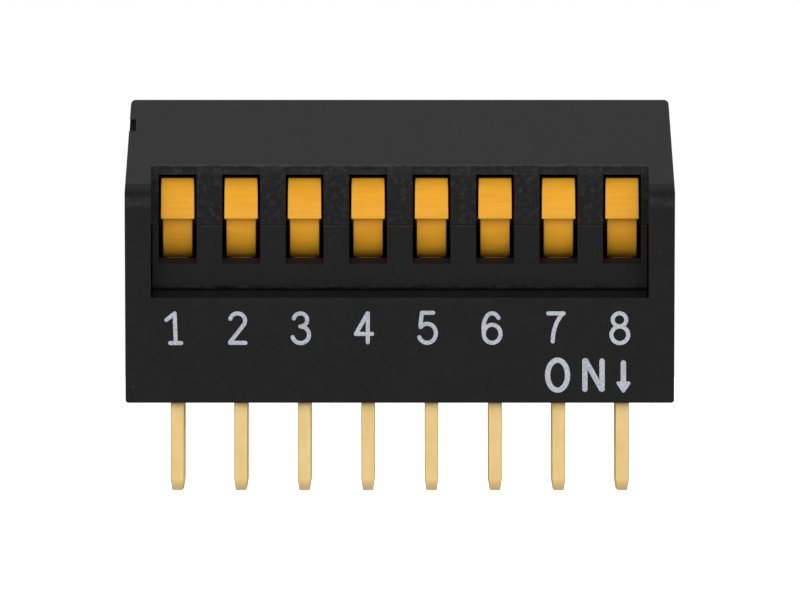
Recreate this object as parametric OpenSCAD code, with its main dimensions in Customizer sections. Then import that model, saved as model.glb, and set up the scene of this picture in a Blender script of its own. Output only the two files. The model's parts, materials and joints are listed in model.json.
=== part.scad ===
// Eight-way piano DIP switch: levers at the side, two rows of pins, all levers up (off).
// Z = 0 is the seating plane on the board, X runs along the row of levers and the levers face -Y.

/* [Row] */
// Number of levers
ways = 8; // [2:1:10]
// Distance from one lever to the next
pitch = 2.54; // [2.2:0.01:3.2]
// Distance between the two rows of pins
row_gap = 7.62; // [7:0.01:9.6]

/* [Case] */
// Height of the case above the board
case_h = 12.15; // [10.5:0.05:15]
// How far back the slope runs before the flat top
slope_d = 5.4; // [4:0.1:6.5]
// Radius of the nose between the front face and the slope
nose_r = 1.25; // [0.3:0.05:1.4]
// Draft of each end, from the nose up to the top
top_draft = 0.22; // [0:0.01:0.3]
// Draft of each end, from the nose down to the board
foot_draft = 0.04; // [0:0.01:0.1]
// Radius of the top corners, seen from the front
top_corner_r = 0.2; // [0.05:0.01:0.4]
// Radius of the bottom corners, seen from the front
foot_corner_r = 0.12; // [0.05:0.01:0.4]
// Radius of the edges across the top, seen from the side
top_edge_r = 0.25; // [0.05:0.01:0.5]
// Thickness of the front, rear and top walls
wall = 0.9; // [0.7:0.02:1.1]
// Thickness of the end walls, which are the cheeks of the window
cheek = 1.05; // [0.8:0.01:1.3]

/* [Window] */
// Height of the window's sill
sill_h = 4.2; // [4.1:0.02:4.4]
// Depth of the slotted panel behind the front face
recess_d = 1.57; // [1.3:0.01:1.9]
// Height of the panel between the top of a slot and the lip of the roof
head_h = 0.347; // [0.25:0.001:0.6]
// Width of the end bars, between the outer slots and the cheeks
end_bar_w = 0.305; // [0.2:0.005:0.5]
// Thickness of the slotted panel
panel_t = 0.8; // [0.6:0.02:1]
// Height of the open gap between the sill and the lower half of the panel
sill_gap = 0.34; // [0.2:0.01:0.5]
// How far below the pivot the two halves of the panel meet
parting_drop = 0.22; // [0.1:0.01:0.3]
// How far the panel above each slot lies behind the bars beside it
slot_head_step = 0.08; // [0.02:0.01:0.15]
// Height of the roof's lip above the pocket that this leaves over each slot
slot_head_lip = 0.08; // [0.05:0.01:0.15]
// Thickness of the step at the back of each slot's foot, which rises to the hub's underside
slot_foot_step = 0.2; // [0.1:0.01:0.3]
// Thickness of the case behind the trunnions
bearing_wall = 0.2; // [0.1:0.01:0.4]

/* [Levers] */
// Height of the pivot above the board
pivot_h = 7.35; // [7.2:0.01:7.5]
// Depth of the pivot behind the front face of the slotted panel
pivot_d = 1.93; // [1.85:0.01:2]
// Radius of the hub
hub_r = 1.55; // [1.3:0.01:1.6]
// Width of the hub
hub_w = 1.18; // [0.9:0.01:1.3]
// Outer radius of the knob
knob_r = 2.3; // [2.1:0.01:2.5]
// Width of the knob
knob_w = 1.34; // [1.1:0.01:1.4]
// Angle that the knob takes up, which is also the lever's travel
throw_deg = 48; // [40:0.5:50]
// Radius of the trunnions
trunnion_r = 0.32; // [0.3:0.01:0.5]
// Width of the arm inside the case
arm_w = 0.9; // [0.7:0.01:1]
// Thickness of the arm
arm_t = 0.8; // [0.6:0.01:0.9]
// Angle of the arm in front of straight down, lever up
arm_lead_deg = 8; // [4:0.5:9]
// Depth of the neck in the front of the arm, which keeps it out of sight behind the hub
neck_d = 0.32; // [0.2:0.01:0.4]
// Length of the neck below the hub
neck_l = 0.25; // [0.15:0.01:0.4]

/* [Contacts] */
// Radius of the contact track about the pivot
track_r = 3.6; // [3.3:0.01:3.7]
// Angle that a wiper takes up on the track
wiper_deg = 14; // [10:0.5:15]
// Thickness of the wiper's spring strip
wiper_t = 0.12; // [0.08:0.01:0.15]
// Width of the slit between the wiper's two fingers
wiper_slit = 0.2; // [0.1:0.01:0.3]
// Height of the wiper's tab inside the arm
wiper_tab_h = 0.7; // [0.4:0.01:0.9]
// Angle of the bare barrier between the two contact strips
barrier_deg = 3; // [2:0.5:5]
// How far the front strip reaches under a wiper that is on
bridge_deg = 2.5; // [1:0.5:4]
// How far the strips run past the wiper at each end of its travel
run_on_deg = 2.5; // [1:0.5:3]
// Width of the contact strips
strip_w = 0.9; // [0.7:0.01:1.1]

/* [Pins] */
// Width of a pin
pin_w = 0.55; // [0.4:0.01:0.6]
// Thickness of the terminal strip
pin_t = 0.25; // [0.2:0.01:0.3]
// Length of a pin below the board's seating plane
pin_len = 3.49; // [2.5:0.01:4.5]
// Length of the taper at a pin's tip
tip_len = 0.43; // [0.2:0.01:0.6]
// Width left at the end of the tip
tip_w = 0.41; // [0.25:0.01:0.5]
// Thickness left at the end of the tip
tip_t = 0.15; // [0.1:0.01:0.2]

/* [Base] */
// Underside of the sealing resin above the board
resin_h = 0.25; // [0.1:0.01:0.4]
// Thickness of the sealing resin
resin_t = 0.3; // [0.2:0.01:0.5]
// How far the curtain behind the sill and the bars stand back from the front of the panel
bar_setback = 0.45; // [0.2:0.01:0.6]
// Thickness of the curtain, which closes the gap below the panel
curtain_t = 0.3; // [0.2:0.01:0.35]
// How far the bars run behind the pivot at full height
bar_run = 1.2; // [0.8:0.05:1.8]
// How far the foot of the bars reaches behind the contact track
bar_foot = 0.2; // [0.1:0.01:0.5]
// Height of a terminal's shoulder above the sealing resin
shoulder_rise = 0.2; // [0.1:0.01:0.4]
// Height of the chamber walls above the rear contact straps
chamber_h = 0.7; // [0.3:0.05:1.2]
// Radius of the lower edge of the base's panel
panel_edge_r = 0.2; // [0.05:0.01:0.3]

/* [Fits] */
// Side clearance of a knob in its slot
knob_gap = 0.085; // [0.05:0.005:0.15]
// Clearance of a knob below the head and above the foot of its slot
stop_gap = 0.07; // [0.04:0.005:0.1]
// Gap between an outer trunnion's end and the cheek beside it
trunnion_end_gap = 0.045; // [0.02:0.005:0.1]
// Radial clearance of a trunnion in its bearing
bearing_gap = 0.03; // [0.02:0.005:0.06]
// Gap between a wiper and the track
wiper_gap = 0.03; // [0.02:0.005:0.06]
// Gap between a pin and the wall of the case beside it
pin_gap = 0.115; // [0.06:0.005:0.3]
// Gap between the base and the walls of the case
base_gap = 0.05; // [0.03:0.005:0.1]
// Gap between the upper and lower halves of the panel
parting_gap = 0.02; // [0.01:0.005:0.05]

/* [Index notch] */
// Depth of the notch in the left end
notch_d = 0.26; // [0.1:0.01:0.4]
// Height of the notch
notch_h = 0.48; // [0.3:0.01:0.7]
// How far below the flat top the notch starts
notch_drop = 0.79; // [0.5:0.01:1.2]
// Length of the notch from front to back
notch_len = 1.6; // [1:0.05:2.5]

/* [Hidden] */
LEVERS = [for (i = [1:ways]) str("lever_", i)];
WIPERS = [for (i = [1:ways]) str("wiper_", i)];
FRONT_TERMINALS = [for (i = [1:ways]) str("front_terminal_", i)];
REAR_TERMINALS = [for (i = [1:ways]) str("rear_terminal_", i)];
$fn = 96;

// A cut runs this far past the surface that it opens
over = 1;
// A piece that joins another of the same moulding sinks this far into it
sink = 0.1;

// Slots, which set the width of the case
slot_w = knob_w + 2 * knob_gap;
half_in = (ways - 1) / 2 * pitch + slot_w / 2 + end_bar_w;
half_w = half_in + cheek;

// The rows of pins, which set its depth
rear_in_y = (row_gap + pin_t) / 2 + pin_gap;
front_in_y = -rear_in_y;
rear_y = rear_in_y + wall;
front_y = -rear_y;

// Slotted panel and levers
panel_y = front_y + recess_d;
panel_back_y = panel_y + panel_t;
pivot_y = panel_y + pivot_d;
knob_rise = knob_r * sin(throw_deg);
slot_top = pivot_h + knob_rise + stop_gap;
slot_foot = pivot_h - knob_rise - stop_gap;
sweep_gap_deg = asin(stop_gap / (knob_r + stop_gap));
panel_foot = sill_h + sill_gap;
parting_h = pivot_h - parting_drop;
bearing_r = trunnion_r + bearing_gap;
trunnion_l = slot_w + 2 * (end_bar_w - trunnion_end_gap);

// Sloped roof: from the nose, over the lip of the window, up to the flat top
lip_h = slot_top + head_h;
slope_tan = (case_h - lip_h) / (slope_d - recess_d);
fold_h = lip_h - recess_d * slope_tan;
roof_drop = wall / cos(atan(slope_tan));

// Wiper and contact strips, as angles about the pivot from straight down towards the rear
wiper_in_r = track_r - wiper_gap - wiper_t;
wiper_from = -arm_lead_deg - wiper_deg / 2;
wiper_to = -arm_lead_deg + wiper_deg / 2;
front_strip_from = wiper_from - run_on_deg;
front_strip_to = wiper_from + throw_deg + bridge_deg;
rear_strip_from = front_strip_to + barrier_deg;
rear_strip_to = wiper_to + throw_deg + run_on_deg;
front_strap_h = pivot_h - track_r * cos(front_strip_from);
rear_strap_h = pivot_h - track_r * cos(rear_strip_to);
front_strap_y = pivot_y + track_r * sin(front_strip_from);
rear_strap_y = pivot_y + track_r * sin(rear_strip_to);

// Base
base_foot = resin_h + resin_t;
shoulder_h = base_foot + shoulder_rise;
base_half_w = half_in - base_gap;
base_front_y = front_in_y + base_gap;
base_rear_y = rear_in_y - base_gap;
base_top = parting_h - parting_gap;
curtain_y = panel_y + bar_setback;
bar_rear_y = pivot_y + track_r + bar_foot;

// Height of the outside of the sloped roof over a place y
function slope_h(y) = fold_h + (y - front_y) * slope_tan;

// Height of the underside of the sloped roof over a place y
function roof_h(y) = slope_h(y) - roof_drop;

// Place of lever i along the row, from 1 at the left
function way_x(i) = (i - (ways + 1) / 2) * pitch;

// Half the width of the case at a height above the nose
function half_w_at(h) = half_w - top_draft * (h - fold_h) / (case_h - fold_h);

// Point at an angle from straight down towards the rear, on a circle of radius r
function polar(r, a) = [r * sin(a), -r * cos(a)];

function unit(v) = v / norm(v);

// Half the inner angle of the corner b between the points a and c
function half_corner(a, b, c) = acos(unit(a - b) * unit(c - b)) / 2;

// Extrudes a (y, z) profile along X
module along_x(from, to) {
    translate([from, 0, 0]) rotate([90, 0, 90]) linear_extrude(to - from) children();
}

// Extrudes an (x, z) outline along Y
module along_y(from, to) {
    translate([0, to, 0]) rotate([90, 0, 0]) linear_extrude(to - from) children();
}

// A box given by its lowest and highest corners
module block(low, high) {
    translate(low) cube(high - low);
}

// A convex polygon whose corners are rounded to true arcs; a radius of 0 leaves a corner sharp
module soft_polygon(points, radii) {
    n = len(points);
    polygon([
        for (i = [0:n - 1])
            let (b = points[i], a = points[(i + n - 1) % n], c = points[(i + 1) % n])
            let (reach = radii[i] / tan(half_corner(a, b, c)))
            each reach > 0 ? [b + reach * unit(a - b), b + reach * unit(c - b)] : [b]
    ]);
    for (i = [0:n - 1])
        if (radii[i] > 0) {
            b = points[i];
            a = points[(i + n - 1) % n];
            c = points[(i + 1) % n];
            middle = unit(unit(a - b) + unit(c - b));
            translate(b + middle * radii[i] / sin(half_corner(a, b, c))) circle(radii[i]);
        }
}

// A ring sector about the pivot, centred on x = 0
module pivot_sector(r_in, r_out, from, to, w) {
    far = 2 * r_out;
    along_x(-w / 2, w / 2) translate([pivot_y, pivot_h]) intersection() {
        difference() {
            circle(r_out);
            circle(r_in);
        }
        polygon([[0, 0], polar(far, from), polar(far, (from + to) / 2), polar(far, to)]);
    }
}

// A cylinder on the pivot's axis, centred on x = 0
module pivot_cylinder(r, w) {
    translate([0, pivot_y, pivot_h]) rotate([0, 90, 0]) cylinder(r = r, h = w, center = true);
}

// Places its children in the frame of a lever's arm: centred on the pivot, -Z along the arm
module arm_frame() {
    translate([0, pivot_y, pivot_h]) rotate([-arm_lead_deg, 0, 0]) children();
}

// Places its children at every lever
module each_way() {
    for (i = [1:ways]) translate([way_x(i), 0, 0]) children();
}

// Extrudes a (y, z) profile into the bars between the levers and beside the outer ones
module bars(end_x) {
    for (i = [1:ways - 1])
        along_x(way_x(i) + slot_w / 2, way_x(i + 1) - slot_w / 2) children();
    along_x(-end_x, way_x(1) - slot_w / 2) children();
    along_x(way_x(ways) + slot_w / 2, end_x) children();
}

// Outside of the case, with no openings
module case_outside() {
    intersection() {
        along_x(-half_w - over, half_w + over) soft_polygon(
            [
                [front_y, 0], [rear_y, 0], [rear_y, case_h],
                [front_y + slope_d, case_h], [front_y, fold_h]
            ],
            [0, 0, top_edge_r, top_edge_r, nose_r]
        );
        along_y(front_y - over, rear_y + over) soft_polygon(
            [
                [-half_w + foot_draft, 0], [half_w - foot_draft, 0], [half_w, fold_h],
                [half_w - top_draft, case_h], [-half_w + top_draft, case_h], [-half_w, fold_h]
            ],
            [foot_corner_r, foot_corner_r, 0, top_corner_r, top_corner_r, 0]
        );
    }
}

// Hollow of the case: open below, stepped behind the slotted panel and sloped under the roof
module case_hollow() {
    ceiling = case_h - wall;
    ceiling_y = front_y + (ceiling + roof_drop - fold_h) / slope_tan;
    along_x(-half_in, half_in) polygon([
        [front_in_y, -over], [front_in_y, parting_h], [panel_back_y, parting_h],
        [panel_back_y, roof_h(panel_back_y)], [ceiling_y, ceiling],
        [rear_in_y, ceiling], [rear_in_y, -over]
    ]);
}

// Bars of the case, which hold the trunnions from above
module case_bars() {
    back_y = pivot_y + bearing_r + bearing_wall;
    bars(half_in + sink) polygon([
        [panel_back_y - sink, parting_h], [back_y, parting_h],
        [back_y, roof_h(back_y) + sink], [panel_back_y - sink, roof_h(panel_back_y - sink) + sink]
    ]);
}

// Index notch, which runs back along the left end from the slope
module index_notch() {
    top = case_h - notch_drop;
    foot = top - notch_h;
    slope_y = front_y + (top - fold_h) / slope_tan;
    block(
        [-half_w - over, front_y, foot],
        [notch_d - half_w_at((top + foot) / 2), slope_y + notch_len, top]
    );
}

module case() {
    color("#262627") difference() {
        union() {
            difference() {
                case_outside();
                case_hollow();
                block([-half_in, front_y - over, sill_h], [half_in, panel_y, case_h + over]);
            }
            case_bars();
        }
        each_way() {
            block([-slot_w / 2, front_y, panel_foot], [slot_w / 2, pivot_y, slot_top]);
            block(
                [-slot_w / 2, front_y, slot_top - sink],
                [slot_w / 2, panel_y + slot_head_step, lip_h - slot_head_lip]
            );
            pivot_cylinder(bearing_r, trunnion_l + 2 * bearing_gap);
            block(
                [-trunnion_l / 2 - bearing_gap, pivot_y - bearing_r, parting_h - over],
                [trunnion_l / 2 + bearing_gap, pivot_y + bearing_r, pivot_h]
            );
        }
        index_notch();
    }
}

// Upright panel of the base, which closes the lower half of the window, with a step behind each
// slot's foot that hides the arm and stays clear of the knob's travel
module base_panel() {
    difference() {
        along_x(-base_half_w, base_half_w) soft_polygon(
            [
                [panel_y, panel_foot], [panel_back_y, panel_foot],
                [panel_back_y, base_top], [panel_y, base_top]
            ],
            [panel_edge_r, 0, 0, 0]
        );
        each_way() {
            block(
                [-slot_w / 2, panel_y - over, slot_foot],
                [slot_w / 2, panel_back_y - slot_foot_step, base_top + over]
            );
            block(
                [-slot_w / 2, panel_y - over, max(slot_foot, pivot_h - hub_r)],
                [slot_w / 2, panel_back_y + over, base_top + over]
            );
            pivot_sector(
                trunnion_r, knob_r + stop_gap,
                -90 - throw_deg, throw_deg - 90 + sweep_gap_deg, slot_w
            );
        }
    }
}

// Curtain behind the gap between the sill and the panel
module curtain() {
    block(
        [-base_half_w, curtain_y, front_strap_h - sink],
        [base_half_w, curtain_y + curtain_t, panel_foot + sink]
    );
}

// Bars of the base, which carry the panel and the trunnions and part the contact chambers
module base_bars() {
    bars(base_half_w) polygon([
        [curtain_y, front_strap_h - sink], [curtain_y, base_top],
        [pivot_y + bar_run, base_top], [bar_rear_y, rear_strap_h + chamber_h],
        [bar_rear_y, rear_strap_h - sink]
    ]);
}

module base() {
    color("#212122") difference() {
        union() {
            difference() {
                along_x(-base_half_w, base_half_w) polygon([
                    [base_front_y, base_foot], [base_rear_y, base_foot],
                    [base_rear_y, rear_strap_h], [pivot_y, rear_strap_h],
                    [pivot_y, front_strap_h], [base_front_y, front_strap_h]
                ]);
                each_way() pivot_cylinder(track_r, slot_w);
            }
            base_panel();
            base_bars();
            curtain();
        }
        each_way() {
            pivot_cylinder(bearing_r, trunnion_l + 2 * bearing_gap);
            terminal_seat(
                -(row_gap - pin_t) / 2, base_front_y - over,
                front_strap_h, front_strap_y + sink, front_strip_from, front_strip_to
            );
            terminal_seat(
                (row_gap - pin_t) / 2, base_rear_y + over,
                rear_strap_h, rear_strap_y - sink, rear_strip_from, rear_strip_to
            );
        }
    }
}

// Seat for a terminal, open above the strip and to the side that the terminal is slid in from
module terminal_seat(pin_face, outside, strap_h, strap_y, from, to) {
    module channel(w, low, high, end_y) {
        block([-w / 2, min(end_y, outside), low], [w / 2, max(end_y, outside), high]);
    }
    channel(pin_w, -over, shoulder_h + sink, pin_face);
    channel(strip_w, shoulder_h, strap_h + sink, pin_face);
    channel(strip_w, strap_h - pin_t, strap_h + sink, strap_y);
    pivot_sector(track_r - sink, track_r + pin_t, from, to, strip_w);
}

module sealing_resin() {
    color("#2b2420") difference() {
        block([-half_in, front_in_y, resin_h], [half_in, rear_in_y, base_foot]);
        each_way() for (side = [-1, 1]) pin(side * row_gap / 2);
    }
}

// A pin with a tapered tip, its middle at a place y, up to the shoulder
module pin(y) {
    intersection() {
        along_y(y - pin_t / 2, y + pin_t / 2) blade(pin_w, tip_w);
        along_x(-pin_w / 2, pin_w / 2) translate([y, 0]) blade(pin_t, tip_t);
    }
}

// Outline of a pin of width w whose tip narrows to tip
module blade(w, tip) {
    polygon([
        [-tip / 2, -pin_len], [tip / 2, -pin_len], [w / 2, tip_len - pin_len],
        [w / 2, shoulder_h + sink], [-w / 2, shoulder_h + sink], [-w / 2, tip_len - pin_len]
    ]);
}

// A front terminal: upright, strap and the contact strip along the track
module front_strip() {
    upright_y = -(row_gap + pin_t) / 2;
    block([-strip_w / 2, upright_y, shoulder_h], [strip_w / 2, upright_y + pin_t, front_strap_h]);
    block(
        [-strip_w / 2, upright_y, front_strap_h - pin_t],
        [strip_w / 2, front_strap_y, front_strap_h]
    );
    pivot_sector(track_r, track_r + pin_t, front_strip_from, front_strip_to, strip_w);
    pin(-row_gap / 2);
}

// A rear terminal, the other way round and higher up the track
module rear_strip() {
    upright_y = (row_gap - pin_t) / 2;
    block([-strip_w / 2, upright_y, shoulder_h], [strip_w / 2, upright_y + pin_t, rear_strap_h]);
    block(
        [-strip_w / 2, rear_strap_y, rear_strap_h - pin_t],
        [strip_w / 2, upright_y + pin_t, rear_strap_h]
    );
    pivot_sector(track_r, track_r + pin_t, rear_strip_from, rear_strip_to, strip_w);
    pin(row_gap / 2);
}

// Tab of a wiper, which is pressed into the foot of the arm
module wiper_tab() {
    arm_frame() block(
        [-wiper_slit, -wiper_t / 2, -wiper_in_r - wiper_t / 2],
        [wiper_slit, wiper_t / 2, wiper_tab_h - wiper_in_r]
    );
}

module lever(i) {
    color("#e5a52f") translate([way_x(i), 0, 0]) {
        pivot_cylinder(hub_r, hub_w);
        pivot_cylinder(trunnion_r, trunnion_l);
        pivot_sector(hub_r - sink, knob_r, -90 - throw_deg, -90, knob_w);
        difference() {
            intersection() {
                arm_frame() block([-arm_w / 2, -arm_t / 2, -track_r], [arm_w / 2, arm_t / 2, 0]);
                pivot_cylinder(wiper_in_r, arm_w);
            }
            wiper_tab();
            arm_frame() block([-arm_w, -arm_t, -hub_r - neck_l], [arm_w, neck_d - arm_t / 2, over]);
        }
    }
}

module wiper(i) {
    color("#d8b45c") translate([way_x(i), 0, 0]) {
        wiper_tab();
        difference() {
            pivot_sector(wiper_in_r, wiper_in_r + wiper_t, wiper_from, wiper_to, arm_w);
            for (side = [-1, 1])
                arm_frame() block(
                    [-wiper_slit / 2, side > 0 ? wiper_slit : -track_r, -track_r],
                    [wiper_slit / 2, side > 0 ? track_r : -wiper_slit, 0]
                );
        }
    }
}

module front_terminal(i) {
    color("#e2c27c") translate([way_x(i), 0, 0]) front_strip();
}

module rear_terminal(i) {
    color("#e2c27c") translate([way_x(i), 0, 0]) rear_strip();
}

case();
base();
sealing_resin();
for (i = [1:ways]) {
    lever(i);
    wiper(i);
    front_terminal(i);
    rear_terminal(i);
}
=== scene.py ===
"""Looks of an eight-way piano DIP switch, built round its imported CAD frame.

Z = 0 is the seating plane on the board, X runs along the row of levers and the levers face -Y.
Lengths are in metres, but for those of zones and of glyphs, which are in millimetres. An angle
whose name ends in _deg is in degrees.
"""

import json
import logging
import math
from dataclasses import dataclass
from enum import Enum
from typing import Any, Mapping, Sequence

import bmesh
import bpy
import numpy as np
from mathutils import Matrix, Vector
from numpy.typing import NDArray


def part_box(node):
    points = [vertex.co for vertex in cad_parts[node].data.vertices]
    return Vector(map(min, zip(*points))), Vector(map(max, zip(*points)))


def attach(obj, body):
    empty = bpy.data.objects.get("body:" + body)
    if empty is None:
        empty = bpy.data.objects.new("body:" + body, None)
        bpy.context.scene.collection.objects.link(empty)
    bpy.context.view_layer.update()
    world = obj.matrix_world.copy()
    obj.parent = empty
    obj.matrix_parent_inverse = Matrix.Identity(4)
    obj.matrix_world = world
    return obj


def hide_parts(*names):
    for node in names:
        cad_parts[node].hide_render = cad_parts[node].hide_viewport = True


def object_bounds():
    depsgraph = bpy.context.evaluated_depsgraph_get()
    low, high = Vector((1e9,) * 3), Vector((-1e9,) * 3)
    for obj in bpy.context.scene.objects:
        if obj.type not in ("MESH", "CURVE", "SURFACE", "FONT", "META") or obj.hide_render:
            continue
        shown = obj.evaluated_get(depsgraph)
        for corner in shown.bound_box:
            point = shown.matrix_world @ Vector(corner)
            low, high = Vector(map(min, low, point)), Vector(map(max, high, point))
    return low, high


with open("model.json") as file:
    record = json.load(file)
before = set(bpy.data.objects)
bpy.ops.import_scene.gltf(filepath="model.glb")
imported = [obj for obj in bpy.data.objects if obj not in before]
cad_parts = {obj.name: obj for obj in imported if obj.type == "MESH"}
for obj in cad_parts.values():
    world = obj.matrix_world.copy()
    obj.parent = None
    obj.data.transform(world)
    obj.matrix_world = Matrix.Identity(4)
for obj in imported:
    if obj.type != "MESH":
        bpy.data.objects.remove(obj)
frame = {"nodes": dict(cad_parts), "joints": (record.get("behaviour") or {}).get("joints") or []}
CAD_BOX = [list(corner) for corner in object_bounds()]

MM = 1e-3
WAYS = len(frame["joints"])
PITCH = 2.54 * MM
WHITE = (1, 1, 1, 1)
# An edge is sharp from the first angle on, and up to the second its two faces are one
SHARP_ANGLE, FLAT_ANGLE = math.radians(35), math.radians(0.6)
Array = NDArray[np.float64]
Colour = tuple[float, float, float, float]

log = logging.getLogger("dip_switch")


# --- Shader graphs ---


class Signal:
    """An output socket of a node graph, which takes part in Python arithmetic."""

    def __init__(self, graph: "Graph", socket: bpy.types.NodeSocket | None) -> None:
        """Keeps the graph, and the socket, which a node that ends the graph doesn't have."""
        self.graph = graph
        self.socket = socket

    def _maths(self, operation: str, first: "Value", second: "Value") -> "Signal":
        """Adds one Math node that works on two values."""
        return self.graph.node("ShaderNodeMath", {"operation": operation}, {0: first, 1: second})

    def __add__(self, other: "Value") -> "Signal":
        """Returns self + other."""
        return self._maths("ADD", self, other)

    __radd__ = __add__

    def __sub__(self, other: "Value") -> "Signal":
        """Returns self - other."""
        return self._maths("SUBTRACT", self, other)

    def __rsub__(self, other: "Value") -> "Signal":
        """Returns other - self."""
        return self._maths("SUBTRACT", other, self)

    def __mul__(self, other: "Value") -> "Signal":
        """Returns self * other."""
        return self._maths("MULTIPLY", self, other)

    __rmul__ = __mul__

    def wrapped(self) -> "Signal":
        """Returns what is left over after whole numbers, from 0 to 1."""
        return self._maths("FRACT", self, 0.0)

    def size(self) -> "Signal":
        """Returns the absolute value."""
        return self._maths("ABSOLUTE", self, 0.0)

    def most(self, other: "Value") -> "Signal":
        """Returns the larger of self and other."""
        return self._maths("MAXIMUM", self, other)

    def ramp(self, low: float, high: float) -> "Signal":
        """Rises smoothly from 0 where self is low to 1 where it is high.

        Args:
            low: The value at which the ramp starts.
            high: The value at which it ends, which may be the smaller one.

        Returns:
            The eased share, from 0 to 1.
        """
        return self.graph.node(
            "ShaderNodeMapRange",
            {"interpolation_type": "SMOOTHSTEP"},
            {"Value": self, "From Min": low, "From Max": high},
        )


Value = Signal | float
Key = int | str


class Graph:
    """The node tree of one material or world, with one way to add each node."""

    def __init__(self, owner: bpy.types.Material | bpy.types.World) -> None:
        """Empties the owner's node tree.

        Args:
            owner: The material or the world to be shaded.
        """
        owner.use_nodes = True
        self.tree = owner.node_tree
        self.tree.nodes.clear()

    @staticmethod
    def _find(sockets: Any, key: Key) -> bpy.types.NodeSocket:
        """Finds one of a node's sockets.

        Args:
            sockets: All its inputs, or all its outputs.
            key: The place, identifier or name of the one that is wanted.

        Returns:
            The socket.
        """
        if isinstance(key, int):
            return sockets[key]
        return next(s for s in sockets if key in (s.identifier, s.name))

    def node(
        self,
        kind: str,
        settings: Mapping[str, Any] | None = None,
        values: Mapping[Key, Any] | None = None,
        output: Key = 0,
    ) -> Signal:
        """Adds a node of any type.

        Args:
            kind: The node's type.
            settings: Its settings, set before its sockets.
            values: For each input, by place, identifier or name, a value or the signal to link.
            output: The output to return, by place, identifier or name.

        Returns:
            The chosen output.
        """
        made = self.tree.nodes.new(kind)
        for key, value in (settings or {}).items():
            setattr(made, key, value)
        for key, value in (values or {}).items():
            socket = self._find(made.inputs, key)
            if isinstance(value, Signal):
                self.tree.links.new(value.socket, socket)
            else:
                socket.default_value = value
        return Signal(self, self._find(made.outputs, output) if made.outputs else None)

    def place(self, stretch: tuple[float, float, float] = (1, 1, 1)) -> Signal:
        """Reads the piece's own coordinates.

        Args:
            stretch: For each axis, how many times closer a pattern is packed along it.

        Returns:
            Object coordinates, stretched.
        """
        where = self.node("ShaderNodeTexCoord", output="Object")
        if stretch == (1, 1, 1):
            return where
        return self.node("ShaderNodeMapping", values={"Vector": where, "Scale": stretch})

    def along(self, where: Signal, axis: str) -> Signal:
        """Returns one of the coordinates X, Y and Z."""
        return self.node("ShaderNodeSeparateXYZ", values={0: where}, output=axis)

    def off_middle(self, where: Signal) -> Signal:
        """Returns the distance along X from the middle of the nearest lever and its pins."""
        return ((self.along(where, "X") * (1 / PITCH)).wrapped() - 0.5).size() * PITCH

    def noise(self, where: Signal, size: float, detail: float = 3, rough: float = 0.5) -> Signal:
        """Cloudy noise about 0.5.

        Args:
            where: The coordinates that it reads.
            size: The length of one cloud.
            detail: How many finer layers are added.
            rough: How strong the finer layers are.

        Returns:
            The noise, from 0 to 1.
        """
        values = {"Vector": where, "Scale": 1 / size, "Detail": detail, "Roughness": rough}
        return self.node("ShaderNodeTexNoise", values=values)

    def specks(self, where: Signal, spacing: float, share: float) -> Signal:
        """Small round specks, one at most in each cell.

        Args:
            where: The coordinates that they read.
            spacing: The width of a cell.
            share: The share of a cell's width that a speck takes up.

        Returns:
            1 in a speck and 0 round it, with a soft rim.
        """
        values = {"Vector": where, "Scale": 1 / spacing}
        return self.node("ShaderNodeTexVoronoi", values=values, output="Distance").ramp(share, share / 3)

    def blend(self, share: Value, first: Any, second: Any) -> Signal:
        """Mixes two colours, or signals that carry colours, by a share of the second."""
        values = {"Factor_Float": share, "A_Color": first, "B_Color": second}
        return self.node("ShaderNodeMix", {"data_type": "RGBA"}, values, "Result_Color")

    def bump(self, height: Signal, depth: float) -> Signal:
        """Turns a height from 0 to 1 into a normal, with the depth of the whole relief."""
        return self.node("ShaderNodeBump", values={"Height": height, "Distance": depth})

    def surface(self, colour: Signal, rough: Signal, normal: Signal, plain: Mapping[str, Any]) -> None:
        """Ends the graph of a material in one Principled shader.

        Args:
            colour: Its base colour.
            rough: Its roughness.
            normal: Its normal.
            plain: By name, its inputs that are the same all over.
        """
        values = {"Base Color": colour, "Roughness": rough, "Normal": normal, **plain}
        shader = self.node("ShaderNodeBsdfPrincipled", values=values)
        self.node("ShaderNodeOutputMaterial", values={"Surface": shader})


# --- Finishes ---


@dataclass(frozen=True)
class Finish:
    """A surface finish that has a name and can be made into a material."""

    name: str

    def shade(self, graph: Graph) -> None:
        """Builds the nodes of the finish.

        Args:
            graph: The empty graph of its material.
        """
        raise NotImplementedError

    def material(self) -> bpy.types.Material:
        """Makes the material.

        Returns:
            A new material with the finish's name.
        """
        made = bpy.data.materials.new(self.name)
        self.shade(Graph(made))
        return made


@dataclass(frozen=True)
class Zone:
    """A stretch of a moulding, the same at its left and its right, in millimetres.

    Attributes:
        out: Where it starts and ends, outward from the middle along X.
        y: Where it starts and ends along Y.
        z: Where it starts and ends along Z.
        rim: Width of its soft rim.
        share: Strength inside.
    """

    out: tuple[float, float]
    y: tuple[float, float]
    z: tuple[float, float]
    rim: float
    share: float = 1.0

    def mask(self, graph: Graph, where: Signal) -> Signal:
        """Adds the nodes that find the zone.

        Args:
            graph: The graph to add them to.
            where: Object coordinates.

        Returns:
            The zone's strength inside it, and 0 outside.
        """
        share: Value = self.share
        for axis, (low, high) in (("X", self.out), ("Y", self.y), ("Z", self.z)):
            at = graph.along(where, axis)
            at = at.size() if axis == "X" else at
            rise = at.ramp((low - self.rim) * MM, low * MM)
            share = rise * at.ramp((high + self.rim) * MM, high * MM) * share
        return share


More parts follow.
